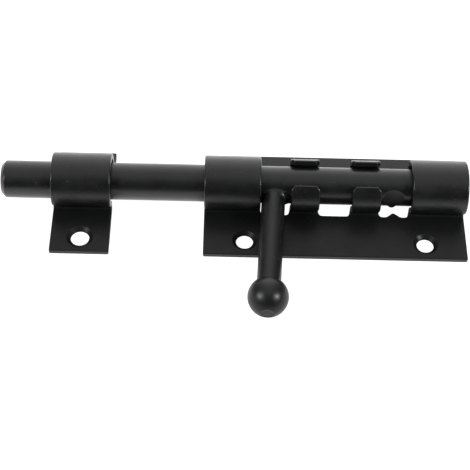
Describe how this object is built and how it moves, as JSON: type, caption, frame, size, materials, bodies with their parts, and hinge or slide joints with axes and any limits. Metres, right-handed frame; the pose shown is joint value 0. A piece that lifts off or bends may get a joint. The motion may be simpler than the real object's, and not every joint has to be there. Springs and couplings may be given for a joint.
{
  "type": "toggle bolt latch",
  "caption": "Toggle bolt latch: a round bolt with a ball handle turns and slides in a pressed loop plate with handle notches, and a separate screw-on loop keeper takes the bolt tip.",
  "frame": {"origin": "on the door face, under the middle of the whole latch", "axes": "+X along the bolt from its tip to the base plate, -Y towards the handle and the screw flanges' front edge, +Z out from the door"},
  "size_m": [0.2072, 0.0913, 0.0233],
  "materials": {
    "base_plate": "satin black paint with a fine texture",
    "keeper": "satin black paint with a fine texture",
    "bolt_bar": "semi-gloss black paint on drawn bar",
    "handle": "semi-gloss black paint on a turned part"
  },
  "bodies": {
    "base": {"base_plate": "base_plate"},
    "bolt": {"bolt_bar": "bolt_bar"},
    "handle": {"handle": "handle"},
    "keeper": {"keeper": "keeper"}
  },
  "joints": [
    {"name": "bolt_slide", "type": "slide", "parent": "base", "child": "bolt", "axis": [1, 0, 0], "range_m": [0, 0.0018]},
    {"name": "handle_turn", "type": "hinge", "parent": "bolt", "child": "handle", "pos_m": [0.018, 0.0219, 0.0109], "axis": [-1, 0, 0], "range_deg": [0, 183.6]},
    {"name": "keeper_slide", "type": "slide", "parent": "base", "child": "keeper", "axis": [1, 0, 0], "range_m": [-0.0495, 0.0405]}
  ]
}
